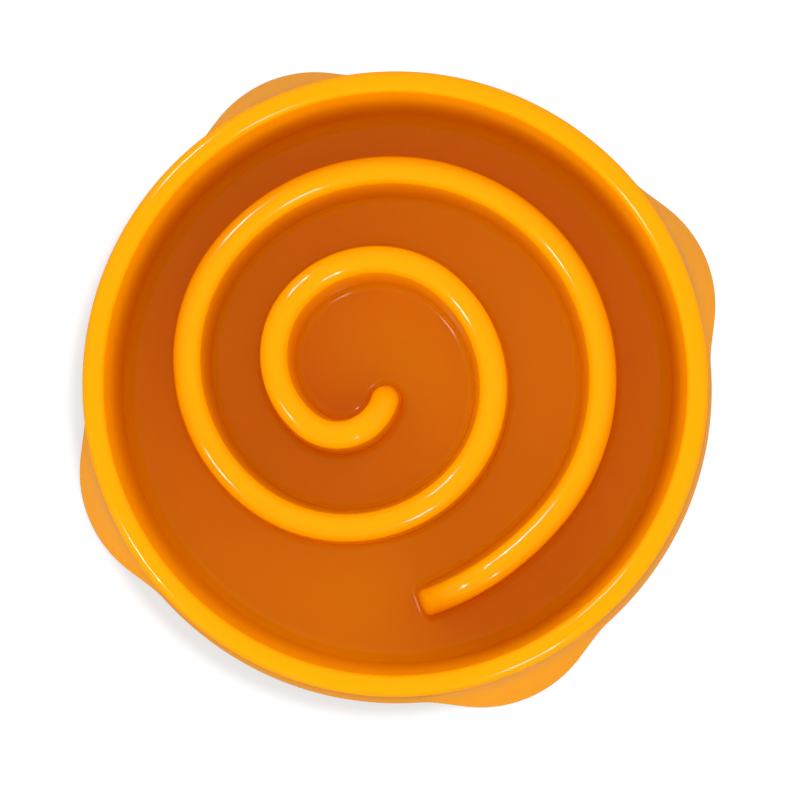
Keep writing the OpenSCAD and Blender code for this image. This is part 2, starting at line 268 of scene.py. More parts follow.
def superellipse(power, steps):
    """Sines and cosines raised to a power, for points spread evenly along the quarter and half
    turns of a squared ellipse: a dense curve is measured and resampled by its length."""
    t = np.linspace(0, math.pi, CURVE_POINTS)
    across = np.sign(np.cos(t)) * np.abs(np.cos(t)) ** power
    ahead = np.sin(t) ** power
    ahead[[0, -1]], across[[0, -1]] = 0, (1, -1)
    length = np.concatenate([[0], np.cumsum(np.hypot(np.diff(across), np.diff(ahead)))])
    even = np.linspace(0, length[-1], steps + 1)
    return np.interp(even, length, across), np.interp(even, length, ahead)


def ridge_skin(skin, inset, path, heading, crown, cap_steps):
    """Adds the ridge, or with an inset the hollow under it, and returns its outline on the
    floor as one loop. A row of the strip is point plus distance times the left direction. In a
    cap the half section turns round its station: distance times the squared cosine goes
    aside, distance times reach times the squared sine goes ahead, and heights above the floor
    shrink by the crown's last slope."""
    left = np.stack([-np.sin(heading), np.cos(heading)], -1)
    ahead = np.stack([np.cos(heading), np.sin(heading)], -1)
    half_x, half_z = half_section(crown, inset)
    x = np.hstack([-half_x[:, :0:-1], half_x])
    z = np.hstack([half_z[:, :0:-1], half_z])
    xy = path[:, None, :] + x[..., None] * left[:, None, :]
    rows, cols = x.shape
    strip = np.dstack([xy, z])
    # painted light: the crown's top is painted lighter, as light falls on it, fading down its
    # round
    crown_light_share = np.clip(1 - (crown[:, None] - inset - z) / CROWN_ROUND, 0, 1)
    skin.add(strip, grid_faces(rows, cols), crown_light_share.ravel() if inset == 0 else 0)
    loops = [strip[:, -1]]
    floor_z = half_z[0, -1]
    for at, turn, reach, power, run, fall in (
            (-1, 1, TAIL_REACH, TAIL_POWER, TAIL_RUN, TAIL_FALL),
            (0, -1, TIP_REACH, TIP_POWER, TIP_RUN, TIP_FALL)):
        across, forward = superellipse(power, cap_steps)
        go_x, go_z = half_x[at] * reach, half_z[at]
        on = forward[:, None] * go_x[None, :]
        off = across[:, None] * half_x[at][None, :]
        slope = 2 * fall / run
        xy = path[at] + turn * (on[..., None] * ahead[at] + off[..., None] * left[at])
        height = floor_z + (go_z - floor_z) * (1 - slope * on / (crown[at] - inset - floor_z))
        cap = np.dstack([xy, height])
        # the ends get the same painted light on their tops
        crown_light_share = np.clip(1 - (go_z[0] - go_z) / CROWN_ROUND, 0, 1) + 0 * on
        skin.add(cap, grid_faces(*on.shape), crown_light_share.ravel() if inset == 0 else 0)
        loops.append(cap[1:-1, -1])
        if at == -1:
            loops.append(strip[::-1, 0])
    return np.concatenate(loops)


bowl_skin = Skin()
foot_loop = ridge_skin(bowl_skin, 0, path, heading, crown, CAP_STEPS)
hollow_loop = ridge_skin(bowl_skin, WALL, *ridge_path(HOLLOW_STEP), HOLLOW_CAP_STEPS)
print("ridge skin:", bowl_skin.count, "points")

# %% [markdown]
# ## The pan, the rim and the lobed skirt
# Seen from above, pan and rim are round, so one profile turned on the axis gives them. The
# skirt isn't: on four sides it flares into a foot lobe, a slice of a cone. At every height the
# outline is the larger of two radii, the skirt's and the lobe's, and a smooth maximum runs them
# into each other with the soft hollow crease that the moulding has. The same rule, with every
# radius drawn in by the wall, gives the inside of the skirt, so the wall stays even.

# %% The skirt's outline
COLUMNS, BLEND = 480, 5.0
angle = np.linspace(0, 2 * math.pi, COLUMNS, endpoint=False)


def smooth_max(a, b, blend):
    """The larger of a and b, with a parabola across the crease where they differ by less than
    the blend: mix by h plus blend times h (1 - h)."""
    h = np.clip(0.5 + 0.5 * (a - b) / blend, 0, 1)
    return b + (a - b) * h + blend * h * (1 - h)


def lobed_radius(z, inset):
    """Radius of the skirt's skin for rows of heights z and all columns. A ray at angle t from
    the axis leaves a lobe's circle at X cos t plus the root of r squared minus (X sin t)
    squared; t is folded into one eighth of a turn, so the four lobes are alike."""
    z = np.asarray(z, float)[:, None]
    quarter = math.pi / 2
    t = np.abs((angle[None, :] + quarter / 2) % quarter - quarter / 2)
    r = lobe_outline_r(z) - level_width(inset, LOBE_DRAFT)
    lobe = LOBE_X * np.cos(t) + np.sqrt(np.clip(r**2 - (LOBE_X * np.sin(t)) ** 2, 0, None))
    skirt = skirt_r(z) - level_width(inset, SKIRT_DRAFT)
    return smooth_max(lobe, skirt + 0 * lobe, BLEND)


print("reach of the skirt at its foot:", lobed_radius([SKIRT_GAP], 0).max().round(2))

# %% [markdown]
# The envelope is all of the moulding but the ridge and the flat floors, as one grid: every row
# has a point in each of the columns round the axis. The first row lies on the floor and the last
# one on its underside, so they are the outlines that the flat floors need. Light is painted into
# the colour here: the share of painted light is full on the rim's top, where light falls, and a
# smaller part of it lightens everything from the rim's outer corner on, the skirt and the lobes
# too, while the pan's inside keeps the deeper colour as painted shade.

# %% The envelope: one grid round the whole bowl
FILLET_ROWS, WALL_ROWS, INNER_ROWS, OUTER_ROWS, SKIRT_ROWS = 9, 8, 8, 10, 26
LIP_ROUND, LIP_ROWS, INSIDE_ROWS, BRIDGE_ROWS, BACK_ROWS, UNDER_ROWS = 0.9, 5, 18, 4, 6, 7
# how far down the side of the rim's outer corner is taken, and how far under the rim the
# inside of the skirt stops
BELOW_CORNER, BELOW_CEILING = 3 * RIM_OUTER_ROUND, 1.0
# share of painted light from the rim's outer corner on, which lightens the skirt and the lobes
PAINTED_OUTSIDE_LIGHT = 0.4


def between(start, end, rows):
    """Rows of a profile spread evenly between two points, without the points themselves."""
    return start + (end - start) * np.linspace(0, 1, rows + 2)[1:-1, None]


def turned(profile):
    """Rows of a profile of radius and height, the same in every column."""
    r, z = np.asarray(profile, float).T
    return r[:, None] + 0 * angle, z[:, None] + 0 * angle


def envelope_rows():
    """Radius and height of every row, from the floor over the rim and down the skirt, round
    its lip, up inside it, under the rim and down the pan's outside to the floor's underside,
    and the number of the first row of the rim's outer corner."""
    top_in, top_out = (pan_r(RIM_H), RIM_H), (skirt_r(RIM_H), RIM_H)
    pan_low = (pan_r(FLOOR_H), FLOOR_H)
    fillet = round_corner((0, FLOOR_H), pan_low, top_in, FLOOR_ROUND, FILLET_ROWS)
    inner = round_corner(pan_low, top_in, top_out, RIM_INNER_ROUND, INNER_ROWS)
    below = RIM_H - BELOW_CORNER
    outer = round_corner(top_in, top_out, (skirt_r(below), below), RIM_OUTER_ROUND, OUTER_ROWS)
    wall = between(fillet[-1], inner[0], WALL_ROWS)
    flat = fillet[:1] - (FLAT_STEP, 0)
    parts = [turned(np.concatenate([flat, fillet, wall, inner, outer]))]
    # down the skirt and round its lip
    lip_top = SKIRT_GAP + LIP_ROUND
    z = np.linspace(outer[-1, 1], lip_top, SKIRT_ROWS)[1:]
    parts.append((lobed_radius(z, 0), z[:, None] + 0 * angle))
    t = np.linspace(0, math.pi / 2, LIP_ROWS)[1:, None]
    for inset, side, turn in ((0, -1, t), (WALL, 1, t[::-1])):
        parts.append((lobed_radius([lip_top], inset) + side * LIP_ROUND * (1 - np.cos(turn)),
                      SKIRT_GAP + LIP_ROUND * (1 - np.sin(turn)) + 0 * angle))
    # up inside the skirt, under the rim and down the pan's outside
    under = RIM_H - WALL
    z = np.linspace(lip_top, under - BELOW_CEILING, INSIDE_ROWS)
    parts.append((lobed_radius(z, WALL), z[:, None] + 0 * angle))
    side = level_width(WALL, PAN_DRAFT)
    pan_top = (pan_r(under) + side, under)
    pan_foot = (pan_r(FLOOR_H - WALL) + side, FLOOR_H - WALL)
    corner = round_corner(pan_top, pan_foot, (0, FLOOR_H - WALL), FLOOR_ROUND + WALL, UNDER_ROWS)
    skirt_top = (skirt_r(under) - level_width(WALL, SKIRT_DRAFT), under)
    bridge = np.linspace(skirt_top, pan_top, BRIDGE_ROWS)
    back = between(pan_top, corner[0], BACK_ROWS)
    flat = corner[-1:] - (FLAT_STEP, 0)
    parts.append(turned(np.concatenate([bridge, back, corner, flat])))
    return (np.concatenate([p[0] for p in parts]), np.concatenate([p[1] for p in parts]),
            len(parts[0][0]) - len(outer))


rows_r, rows_z, rim_row = envelope_rows()
envelope = np.dstack([rows_r * np.cos(angle), rows_r * np.sin(angle), rows_z])
# painted light: full on the rim's top, where light falls, fading down its rounds
rim_light_share = np.clip((rows_z - (RIM_H - RIM_INNER_ROUND)) / RIM_INNER_ROUND, 0, 1)
rim_light_share[rim_row:] = np.maximum(rim_light_share[rim_row:], PAINTED_OUTSIDE_LIGHT)
bowl_skin.add(envelope, grid_faces(len(envelope), COLUMNS, closed=True), rim_light_share.ravel())
print("envelope:", envelope.shape[:2], "reach", round(float(rows_r.max()), 2))

# %% [markdown]
# ## The floor
# What is left between the ridge's foot and the pan's fillet is flat, with a very winding edge.
# A constrained Delaunay triangulation fills it: it takes the two closed outlines as edges, and
# the triangles whose middle lies inside the ridge's outline are then left out. The same fills
# the floor's underside round the hollow.

# %% Flat floors between two outlines
SAME_POINT = 1e-5


def inside(points, loop):
    """True for points inside a closed loop: a line drawn to the right of such a point crosses
    the loop's edges an odd number of times."""
    x, y = points[:, None, 0], points[:, None, 1]
    x0, y0 = loop[None, :, 0], loop[None, :, 1]
    x1, y1 = np.roll(loop, -1, 0)[None, :, 0], np.roll(loop, -1, 0)[None, :, 1]
    spans = (y0 > y) != (y1 > y)
    with np.errstate(divide="ignore", invalid="ignore"):
        crossing = x0 + (y - y0) * (x1 - x0) / (y1 - y0)
    return (spans & (x < crossing)).sum(1) % 2 == 1


def flat_floor(skin, outer, inner, z):
    """Adds the triangles between two closed loops at height z, and returns their area."""
    loops = [np.asarray(outer)[:, :2], np.asarray(inner)[:, :2]]
    edges, start = [], 0
    for loop in loops:
        i = np.arange(len(loop))
        edges.append(np.stack([i, (i + 1) % len(loop)], -1) + start)
        start += len(loop)
    found = delaunay_2d_cdt([Vector(p) for p in np.concatenate(loops).tolist()],
                            np.concatenate(edges).tolist(), [], 0, SAME_POINT)
    xy, faces = np.array(found[0]), np.array(found[2])
    faces = faces[~inside(xy[faces].mean(1), loops[1])]
    skin.add(np.column_stack([xy, np.full(len(xy), z)]), faces)
    tri = xy[faces]
    one, two = tri[:, 1] - tri[:, 0], tri[:, 2] - tri[:, 0]
    return float(np.abs(one[:, 0] * two[:, 1] - one[:, 1] * two[:, 0]).sum() / 2)


top_area = flat_floor(bowl_skin, envelope[0], foot_loop, FLOOR_H)
under_area = flat_floor(bowl_skin, envelope[-1], hollow_loop, FLOOR_H - WALL)
print("floor:", round(top_area), "mm2, underside:", round(under_area), "mm2")

# %% [markdown]
# ## Bosses and webs under the lobes
# Each rubber strip is held by three pegs. Under every lobe the moulding has three round bosses
# with a blind hole, and a thin web ties each boss back to the pan. They show only from below.
# A boss is a profile turned on its own axis whose top follows the lobe's sloping wall, and a web
# is one outline in the upright plane through the bowl's axis, given its thickness.

# %% Bosses and webs
BOSS_STEPS, BOSS_BEVEL = 24, 0.3
WEB_STEPS, SKIRT_STEPS, WEB_SHOULDER, WEB_FOOT = 14, 100, 9.0, 0.6
strip_outer_r = lobe_outline_r(STRIP_H) - level_width(WALL, LOBE_DRAFT) - STRIP_CLEAR
strip_mid_r = strip_outer_r - STRIP_W / 2
peg_angles = np.radians(STRIP_ANGLE * PEG_SPREAD * np.linspace(-0.5, 0.5, PEGS))
pegs = np.stack([LOBE_X + strip_mid_r * np.cos(peg_angles), strip_mid_r * np.sin(peg_angles)], -1)


def under_lobe(xy, sink):
    """Height of the lobe's inner wall over points (x, y), raised by a sink into the wall."""
    away = np.hypot(xy[..., 0] - LOBE_X, xy[..., 1])
    inner = LOBE_R - level_width(WALL - sink, LOBE_DRAFT)
    return SKIRT_GAP + (inner - away) / tan(LOBE_DRAFT)


def boss(centre):
    """Rows of a closed boss, from the top's middle down its side, up the blind hole and to the
    middle of the hole's roof. The top rows are the lower of a level top and the lobe's wall."""
    t = np.linspace(0, 2 * math.pi, BOSS_STEPS, endpoint=False)
    ring = np.stack([np.cos(t), np.sin(t)], -1)
    side_r, hole_r = BOSS_D / 2, PEG_D / 2 + PEG_CLEAR
    bevel_top, hole_top = STRIP_H + BOSS_BEVEL, STRIP_H + PEG_LEN + WALL
    radii = [0, side_r, side_r, side_r - BOSS_BEVEL, hole_r + BOSS_BEVEL, hole_r, hole_r, 0]
    levels = [None, None, bevel_top, STRIP_H, STRIP_H, bevel_top, hole_top, hole_top]
    rows = []
    for r, level in zip(radii, levels):
        xy = centre + r * ring
        top = np.minimum(under_lobe(xy, WALL / 2), BOSS_TOP)
        rows.append(np.column_stack([xy, top if level is None else np.full(len(xy), level)]))
    return np.stack(rows)


def web(centre):
    """Points of a web's two sides, each an outline in the upright plane of its boss, and how many
    points an outline has: outwards just above the strip, back inwards under the higher of the
    lobe's and the skirt's wall, and down the pan's outside."""
    far = float(np.hypot(*centre))
    towards = centre / far
    mid = WALL / 2
    top = RIM_H - mid
    r = np.linspace(far, skirt_r(top) - mid, WEB_STEPS)
    z = np.linspace(top, SKIRT_GAP, SKIRT_STEPS)
    roof = np.maximum(under_lobe(r[:, None] * towards, mid), np.interp(r, skirt_r(z) - mid, z))
    under = [(pan_r(FLOOR_H), STRIP_H + WALL), (far, STRIP_H + WALL)]
    shoulder = FLOOR_H + WEB_SHOULDER
    back = [(pan_r(top) + mid, top), (pan_r(shoulder) + mid, shoulder),
            (pan_r(FLOOR_H), FLOOR_H + WEB_FOOT)]
    outline = np.concatenate([under, np.column_stack([r, np.minimum(roof, top)]), back])
    across = np.array([-towards[1], towards[0]]) * WEB_T / 2
    sides = [np.column_stack([outline[:, :1] * towards + s * across, outline[:, 1]])
             for s in (-1, 1)]
    return np.concatenate(sides), len(outline)


for quarter in range(LOBES):
    c, s = round(math.cos(math.pi / 2 * quarter)), round(math.sin(math.pi / 2 * quarter))
    turn = np.array([[c, s, 0], [-s, c, 0], [0, 0, 1]])
    for peg in pegs:
        rows = boss(peg)
        bowl_skin.add(rows.reshape(-1, 3) @ turn, grid_faces(*rows.shape[:2], closed=True))
        sides, n = web(peg)
        sides = sides @ turn
        i = np.arange(n)
        j = (i + 1) % n
        bowl_skin.add(sides, np.stack([i, j, j + n, i + n], -1))
        # the two flat sides of a web are fans of its outline
        fan = np.stack([np.zeros(n - 2, int), i[1:-1], i[2:]], -1)
        bowl_skin.add(sides[:n], fan[:, ::-1])
        bowl_skin.add(sides[n:], fan)
print("bosses and webs:", PEGS * LOBES, "of each")

# %% [markdown]
# ## One watertight skin
# All the grids go into one mesh. Points that coincide are merged, which closes every seam and
# turns the flat squares round a boss's middle into triangles. Then the normals are made to point
# outwards, which is safe because nothing is open any more. The share of painted light, which
# lightens the lit tops, rides along as an attribute of the points, for the plastic's material.

# %% The bowl's mesh
SEAM, NO_LENGTH, SHARP_ANGLE = 2e-6, 1e-7, 35.0


def make_piece(name, skin):
    """Puts a skin into a new object as metres, merges its seams and shades it smooth, with
    hard edges only where two faces meet at more than the sharp angle."""
    points = np.concatenate(skin.points) * MM
    mesh = bpy.data.meshes.new(name)
    corners = [f.ravel() for f in skin.faces]
    sizes = np.concatenate([np.full(len(f), f.shape[1]) for f in skin.faces])
    mesh.vertices.add(len(points))
    mesh.vertices.foreach_set("co", points.ravel())
    mesh.loops.add(int(sizes.sum()))
    mesh.loops.foreach_set("vertex_index", np.concatenate(corners).astype(np.int32))
    mesh.polygons.add(len(sizes))
    starts = np.concatenate([[0], np.cumsum(sizes)[:-1]])
    mesh.polygons.foreach_set("loop_start", starts.astype(np.int32))
    mesh.polygons.foreach_set("loop_total", sizes.astype(np.int32))
    # the share of painted light, which lightens lit tops in the plastic's colour
    painted_light_attr = mesh.attributes.new("painted_light", "FLOAT", "POINT")
    painted_light_attr.data.foreach_set("value", np.concatenate(skin.shares).astype(np.float32))
    mesh.update()
    work = bmesh.new()
    work.from_mesh(mesh)
    bmesh.ops.remove_doubles(work, verts=work.verts, dist=SEAM)
    bmesh.ops.dissolve_degenerate(work, edges=work.edges, dist=NO_LENGTH)
    bmesh.ops.recalc_face_normals(work, faces=work.faces)
    open_edges = sum(not e.is_manifold for e in work.edges)
    work.to_mesh(mesh)
    work.free()
    mesh.shade_smooth()
    mesh.set_sharp_from_angle(angle=math.radians(SHARP_ANGLE))
    piece = bpy.data.objects.new(name, mesh)
    bpy.context.scene.collection.objects.link(piece)
    print(name, len(mesh.vertices), "points,", len(mesh.polygons), "faces,",
          sum(len(p.vertices) - 2 for p in mesh.polygons), "triangles,",
          open_edges, "open edges")
    return piece


bowl = make_piece("spiral_bowl_moulding", bowl_skin)
bowl.modifiers.new("flat faces keep flat normals", "WEIGHTED_NORMAL").keep_sharp = True
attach(bowl, "root")
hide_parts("bowl")

# %% [markdown]
# ## Finishes
# Both materials are moulded, so both share what moulding leaves: a slight drift of tone where
# the melt flowed, a fine grain from the mould's surface, and hairline scratches from use. That
# is one node group with named inputs, placed in each material with its own values. It reads
# Object coordinates, so the pattern has a real size in metres and stays on the piece.

# %% Node helpers and the shared group of moulded surfaces
# spots per metre of the tone's drift, and of the patches that hold scratches
DRIFT_SCALE, PATCH_SCALE = 18.0, 60.0
HAIRLINE_TURN, HAIRLINE_STRETCH = 0.6, (900.0, 25.0, 200.0)
HAIRLINE_FROM, HAIRLINE_FULL = 0.66, 0.7
PATCH_FROM, PATCH_FULL = 0.5, 0.7
ROUGHNESS_DRIFT = 0.12


def link(tree, source, target):
    """Joins an output socket to an input socket."""
    tree.links.new(source, target)


def add(tree, kind, **values):
    """Adds a node and sets its attributes, or its inputs where a name is not an attribute."""
    node = tree.nodes.new(kind)
    for name, value in values.items():
        if hasattr(node, name):
            setattr(node, name, value)
        else:
            node.inputs[name.replace("_", " ")].default_value = value
    return node


def moulded_surface():
    """Group: from a grain size, a scratch amount and a drift amount to a tone factor round 1,
    a roughness to add, and a height for a Bump node."""
    group = bpy.data.node_groups.new("moulded_surface", "ShaderNodeTree")
    for name in ("Grain scale", "Scratches", "Drift"):
        group.interface.new_socket(name, in_out="INPUT", socket_type="NodeSocketFloat")
    for name in ("Tone", "Roughness", "Height"):
        group.interface.new_socket(name, in_out="OUTPUT", socket_type="NodeSocketFloat")
    start, end = add(group, "NodeGroupInput"), add(group, "NodeGroupOutput")
    place = add(group, "ShaderNodeTexCoord").outputs["Object"]

    # drift: a broad noise centred on zero, times the drift amount, plus one
    drift = add(group, "ShaderNodeTexNoise", Scale=DRIFT_SCALE, Detail=3.0, Roughness=0.5)
    link(group, place, drift.inputs["Vector"])
    centred = add(group, "ShaderNodeMath", operation="SUBTRACT")
    centred.inputs[1].default_value = 0.5
    link(group, drift.outputs["Fac"], centred.inputs[0])
    tone = add(group, "ShaderNodeMath", operation="MULTIPLY_ADD")
    tone.inputs[2].default_value = 1.0
    link(group, centred.outputs[0], tone.inputs[0])
    link(group, start.outputs["Drift"], tone.inputs[1])
    link(group, tone.outputs[0], end.inputs["Tone"])

    # hairlines: thin bands of a stretched, distorted noise, kept where a second noise is high
    stretch = add(group, "ShaderNodeMapping")
    stretch.inputs["Rotation"].default_value = (0.0, 0.0, HAIRLINE_TURN)
    stretch.inputs["Scale"].default_value = HAIRLINE_STRETCH
    link(group, place, stretch.inputs["Vector"])
    lines = add(group, "ShaderNodeTexNoise", Scale=1.0, Detail=2.0, Distortion=0.4)
    link(group, stretch.outputs[0], lines.inputs["Vector"])
    hairline = add(group, "ShaderNodeMapRange")
    hairline.inputs["From Min"].default_value = HAIRLINE_FROM
    hairline.inputs["From Max"].default_value = HAIRLINE_FULL
    link(group, lines.outputs["Fac"], hairline.inputs["Value"])
    patches = add(group, "ShaderNodeTexNoise", Scale=PATCH_SCALE, Detail=1.0)
    link(group, place, patches.inputs["Vector"])
    patch = add(group, "ShaderNodeMapRange")
    patch.inputs["From Min"].default_value = PATCH_FROM
    patch.inputs["From Max"].default_value = PATCH_FULL
    link(group, patches.outputs["Fac"], patch.inputs["Value"])
    scratch = add(group, "ShaderNodeMath", operation="MULTIPLY")
    link(group, hairline.outputs[0], scratch.inputs[0])
    link(group, patch.outputs[0], scratch.inputs[1])
    amount = add(group, "ShaderNodeMath", operation="MULTIPLY")
    link(group, scratch.outputs[0], amount.inputs[0])
    link(group, start.outputs["Scratches"], amount.inputs[1])

    # the grain's height, lower in a scratch, and a roughness that drifts and grows in a scratch
    grain = add(group, "ShaderNodeTexNoise", Detail=2.0)
    link(group, place, grain.inputs["Vector"])
    link(group, start.outputs["Grain scale"], grain.inputs["Scale"])
    rough = add(group, "ShaderNodeMath", operation="MULTIPLY_ADD")
    rough.inputs[1].default_value = ROUGHNESS_DRIFT
    link(group, centred.outputs[0], rough.inputs[0])
    link(group, amount.outputs[0], rough.inputs[2])
    link(group, rough.outputs[0], end.inputs["Roughness"])
    height = add(group, "ShaderNodeMath", operation="SUBTRACT")
    link(group, grain.outputs["Fac"], height.inputs[0])
    link(group, amount.outputs[0], height.inputs[1])
    link(group, height.outputs[0], end.inputs["Height"])
    return group


shared = moulded_surface()
print("group:", shared.name, [s.name for s in shared.interface.items_tree])

# %% [markdown]
# The plastic is a saturated warm orange with a clear gloss. Light and shade are painted into its
# colour: the tops of crown and rim, where light falls, are painted all the way to a lighter,
# yellower colour, the skirt and the lobes part of the way, and the pan's inside, the floor and
# the ridge's flanks keep the deeper orange as painted shade. The rubber is dark, matt and grainy.
# Its solids hold no share of painted light, so it keeps its own colour.

# %% Orange plastic and dark rubber
def moulded_material(name, colour, painted_lit_colour, roughness, specular,
                     grain, scratches, drift, bump):
    """A Principled surface whose colour and roughness follow the shared group. The colour is
    mixed towards the painted lit colour by the share of painted light and multiplied by the
    group's tone, and the roughness is the base roughness plus the group's."""
    material = bpy.data.materials.new(name)
    material.use_nodes = True
    tree = material.node_tree
    shader = tree.nodes["Principled BSDF"]
    shader.inputs["Specular IOR Level"].default_value = specular
    surface = add(tree, "ShaderNodeGroup", node_tree=shared)
    surface.inputs["Grain scale"].default_value = grain
    surface.inputs["Scratches"].default_value = scratches
    surface.inputs["Drift"].default_value = drift
    # the share of painted light sets how far the colour goes towards the lighter painted lit
    # colour
    painted_light_attr = add(tree, "ShaderNodeAttribute", attribute_name="painted_light")
    painted_mix = add(tree, "ShaderNodeMix", data_type="RGBA")
    painted_mix.inputs["A"].default_value = (*colour, 1)
    painted_mix.inputs["B"].default_value = (*painted_lit_colour, 1)
    link(tree, painted_light_attr.outputs["Fac"], painted_mix.inputs["Factor"])
    toned = add(tree, "ShaderNodeVectorMath", operation="SCALE")
    link(tree, painted_mix.outputs["Result"], toned.inputs[0])
    link(tree, surface.outputs["Tone"], toned.inputs["Scale"])
    link(tree, toned.outputs[0], shader.inputs["Base Color"])
    rough = add(tree, "ShaderNodeMath", operation="ADD", use_clamp=True)
    rough.inputs[1].default_value = roughness
    link(tree, surface.outputs["Roughness"], rough.inputs[0])
    link(tree, rough.outputs[0], shader.inputs["Roughness"])
    relief = add(tree, "ShaderNodeBump")
    relief.inputs["Strength"].default_value = 1.0
    relief.inputs["Distance"].default_value = bump
    link(tree, surface.outputs["Height"], relief.inputs["Height"])
    link(tree, relief.outputs[0], shader.inputs["Normal"])
    return material


# the plastic's second colour is the lighter colour painted on lit tops
plastic = moulded_material(
    "orange_gloss_plastic", colour=(0.88, 0.30, 0.0), painted_lit_colour=(1.0, 0.388, 0.0),
    roughness=0.09, specular=0.06, grain=1800.0, scratches=0.12, drift=0.06, bump=2e-6)
rubber = moulded_material(
    "dark_matt_rubber", colour=(0.035, 0.036, 0.039), painted_lit_colour=(0.05, 0.05, 0.053),
    roughness=0.62, specular=0.4, grain=1400.0, scratches=0.1, drift=0.3, bump=2e-5)
bowl.data.materials.append(plastic)
strips = [piece for name, piece in sorted(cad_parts.items()) if name != "bowl"]
for strip in strips:
    for slot in strip.material_slots:
        slot.material = rubber
print("materials:", plastic.name, rubber.name)

# %% [markdown]
# ## Floor, light and camera
# The photograph is a studio picture from straight above, on a white sheet, in even light. The
# floor and the sky are white to the camera by the kind of ray, and not by more light. Gloss shows
# all of the white sky, but only a small share of the floor's added white, because the lobes in
# the photograph mirror hardly any of it. The sheet is also dark to the rays that carry light, so
# it sends hardly any up at the bowl, and the lobes and the skirt keep their deep colour.

# %% The white floor
FLOOR_SIZE, FLOOR_IN_GLOSS = 12.0, 0.15
WHITE_LIFT, PAPER_SEEN, PAPER_LIGHTING = 0.62, 0.2, 0.06


def floor_plane(size):
    """A square floor at height zero, as one grid of two by two points."""
    u = np.array([-0.5, 0.5]) * size
    points = np.stack(np.meshgrid(u, u) + [np.zeros((2, 2))], -1).reshape(-1, 3)
    mesh = bpy.data.meshes.new("studio_floor")
    mesh.from_pydata(points.tolist(), [], grid_faces(2, 2).tolist())
    ground = bpy.data.objects.new("studio_floor", mesh)
    bpy.context.scene.collection.objects.link(ground)
    return ground


def shown_rays(tree, rays, gloss_share):
    """A value of 1 for the camera's own rays and of gloss_share for those of gloss and glass,
    which all show the background, and 0 for the rays that carry light to the object."""
    gloss, seen = [add(tree, "ShaderNodeMath", operation="MAXIMUM") for _ in range(2)]
    share = add(tree, "ShaderNodeMath", operation="MULTIPLY")
    share.inputs[1].default_value = gloss_share
    link(tree, rays.outputs["Is Glossy Ray"], gloss.inputs[0])
    link(tree, rays.outputs["Is Transmission Ray"], gloss.inputs[1])
    link(tree, gloss.outputs[0], share.inputs[0])
    link(tree, rays.outputs["Is Camera Ray"], seen.inputs[0])
    link(tree, share.outputs[0], seen.inputs[1])
    return seen.outputs[0]


ground = floor_plane(FLOOR_SIZE)
paper = bpy.data.materials.new("white_paper")
paper.use_nodes = True
tree = paper.node_tree
sheet = tree.nodes["Principled BSDF"]
sheet.inputs["Roughness"].default_value = 0.9
sheet.inputs["Specular IOR Level"].default_value = 0.0
sheet.inputs["Emission Color"].default_value = (1, 1, 1, 1)
rays = add(tree, "ShaderNodeLightPath")
seen = shown_rays(tree, rays, FLOOR_IN_GLOSS)
lift = add(tree, "ShaderNodeMath", operation="MULTIPLY")
lift.inputs[1].default_value = WHITE_LIFT
link(tree, seen, lift.inputs[0])
link(tree, lift.outputs[0], sheet.inputs["Emission Strength"])
tone = add(tree, "ShaderNodeMapRange")
tone.inputs["To Min"].default_value = PAPER_LIGHTING
tone.inputs["To Max"].default_value = PAPER_SEEN
link(tree, rays.outputs["Is Camera Ray"], tone.inputs["Value"])
link(tree, tone.outputs[0], sheet.inputs["Base Color"])
ground.data.materials.append(paper)
print("floor:", FLOOR_SIZE, "m wide, tone", PAPER_SEEN, "to the camera and",
      PAPER_LIGHTING, "to light")

# %% [markdown]
# The sky gives the broad light. It is strong at the horizon and weak overhead, so the bowl's
# steep faces get about as much as its level ones, and it is a little stronger from below in the
# picture. The camera is turned by its roll, so the side is counted in the picture, from its right
# anticlockwise.

# %% The sky
ROLL = 23.1
HORIZON, ZENITH, BRIGHT_SIDE, BRIGHTER = 2.8, 0.38, 250.0, 0.1
sky = bpy.data.worlds.new("white_sky")
bpy.context.scene.world = sky
sky.use_nodes = True
tree = sky.node_tree
tree.nodes.clear()
seen = shown_rays(tree, add(tree, "ShaderNodeLightPath"), 1.0)
lit, shown = add(tree, "ShaderNodeBackground"), add(tree, "ShaderNodeBackground")
either = add(tree, "ShaderNodeMixShader")
link(tree, seen, either.inputs[0])
link(tree, lit.outputs[0], either.inputs[1])
link(tree, shown.outputs[0], either.inputs[2])
link(tree, either.outputs[0], add(tree, "ShaderNodeOutputWorld").inputs["Surface"])
for background in (lit, shown):
    background.inputs["Color"].default_value = (1, 1, 1, 1)

# the light falls from the horizon to the zenith, times one plus its share on the bright side
direction = add(tree, "ShaderNodeTexCoord").outputs["Generated"]
height = add(tree, "ShaderNodeSeparateXYZ")
link(tree, direction, height.inputs[0])
rise = add(tree, "ShaderNodeMapRange")
rise.inputs["To Min"].default_value = HORIZON
rise.inputs["To Max"].default_value = ZENITH
link(tree, height.outputs["Z"], rise.inputs["Value"])
side = add(tree, "ShaderNodeVectorMath", operation="DOT_PRODUCT")
turn = math.radians(BRIGHT_SIDE - ROLL)
side.inputs[1].default_value = (BRIGHTER * math.cos(turn), BRIGHTER * math.sin(turn), 0)
link(tree, direction, side.inputs[0])
share = add(tree, "ShaderNodeMath", operation="ADD")
share.inputs[1].default_value = 1.0
link(tree, side.outputs["Value"], share.inputs[0])
level = add(tree, "ShaderNodeMath", operation="MULTIPLY")
link(tree, rise.outputs[0], level.inputs[0])
link(tree, share.outputs[0], level.inputs[1])
link(tree, level.outputs[0], lit.inputs["Strength"])
print("sky: strength", HORIZON, "at the horizon,", ZENITH, "overhead")

# %% [markdown]
# Three small soft lamps leave the thin white streaks on crown and rim. They give gloss alone, and
# to the bowl alone, so they put no hard shadows on its floor. A fourth lamp, nearly overhead,
# lights the white floor alone, so that the bowl's soft shadow shows there.

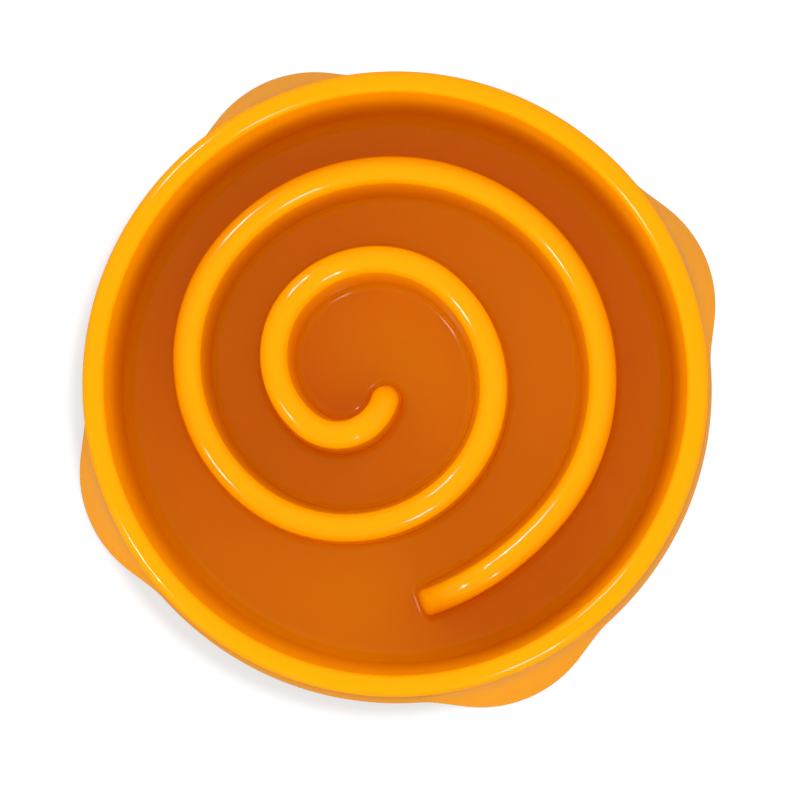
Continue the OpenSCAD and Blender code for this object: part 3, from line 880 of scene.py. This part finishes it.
# %% The lamps
LAMP_DISTANCE, AIM_HEIGHT = 1.2, 0.05
STREAK_FROM_VERTICAL, STREAK_SIZE = 47.0, 0.19
STREAK_LAMPS = (("soft_lamp_lower_left", 212.0, 46.0), ("soft_lamp_upper_left", 133.0, 46.0),
                ("soft_lamp_bottom", 296.0, 36.0))
TABLE_AZIMUTH, TABLE_FROM_VERTICAL, TABLE_SIZE, TABLE_STRENGTH = 40.0, 8.0, 0.135, 112.0


def lamp(name, azimuth, from_vertical, size, strength):
    """A square area lamp aimed at the bowl. The azimuth is counted in the picture, from its
    right side anticlockwise, and the picture is the part turned by the camera's roll. The power
    is the strength of the lamp's face times its area times the square of pi."""
    a, e = math.radians(azimuth - ROLL), math.radians(from_vertical)
    away = Vector((math.sin(e) * math.cos(a), math.sin(e) * math.sin(a), math.cos(e)))
    data = bpy.data.lights.new(name, "AREA")
    data.shape, data.size = "SQUARE", size
    data.energy = strength * math.pi * size * size * math.pi
    light = bpy.data.objects.new(name, data)
    light.location = away * LAMP_DISTANCE + Vector((0, 0, AIM_HEIGHT))
    light.rotation_euler = away.to_track_quat("Z", "Y").to_euler()
    light.visible_camera = False
    bpy.context.scene.collection.objects.link(light)
    return light


def light_only(light, name, receiver):
    """Lets a lamp light one object alone, while every object can still shade it."""
    lit_by = bpy.data.collections.new(name)
    lit_by.objects.link(receiver)
    light.light_linking.receiver_collection = lit_by


for name, azimuth, strength in STREAK_LAMPS:
    streak_lamp = lamp(name, azimuth, STREAK_FROM_VERTICAL, STREAK_SIZE, strength)
    light_only(streak_lamp, name + "_lights", bowl)
    streak_lamp.visible_diffuse = False
table_lamp = lamp("table_lamp", TABLE_AZIMUTH, TABLE_FROM_VERTICAL, TABLE_SIZE, TABLE_STRENGTH)
light_only(table_lamp, "table_lamp_lights", ground)
table_lamp.visible_glossy = False

# %% [markdown]
# The photograph was taken from almost straight above. The camera's place, its two tilts and its
# roll come from fitting the outlines of the rim, the lobes and the ridge to the photograph: the
# camera stands about 1.25 m above the table and 53 mm off the bowl's axis.

# %% The camera, almost straight above
CAMERA_AT, LENS, SENSOR_W = (1.117, -53.057, 1252.88), 126.0, 36.0
TILT_X, TILT_Y = 1.976, 0.945
NEAREST, FARTHEST = 0.05, 50.0
view = bpy.data.cameras.new("camera_from_above")
view.lens, view.sensor_width, view.sensor_fit = LENS, SENSOR_W, "HORIZONTAL"
view.clip_start, view.clip_end = NEAREST, FARTHEST
camera = bpy.data.objects.new("camera_from_above", view)
camera.location = Vector(CAMERA_AT) * MM
camera.rotation_euler = [math.radians(a) for a in (TILT_X, TILT_Y, -ROLL)]
bpy.context.scene.collection.objects.link(camera)
bpy.context.scene.camera = camera
bpy.context.scene.view_settings.view_transform = "Standard"
print("camera at", [round(v, 4) for v in camera.location])
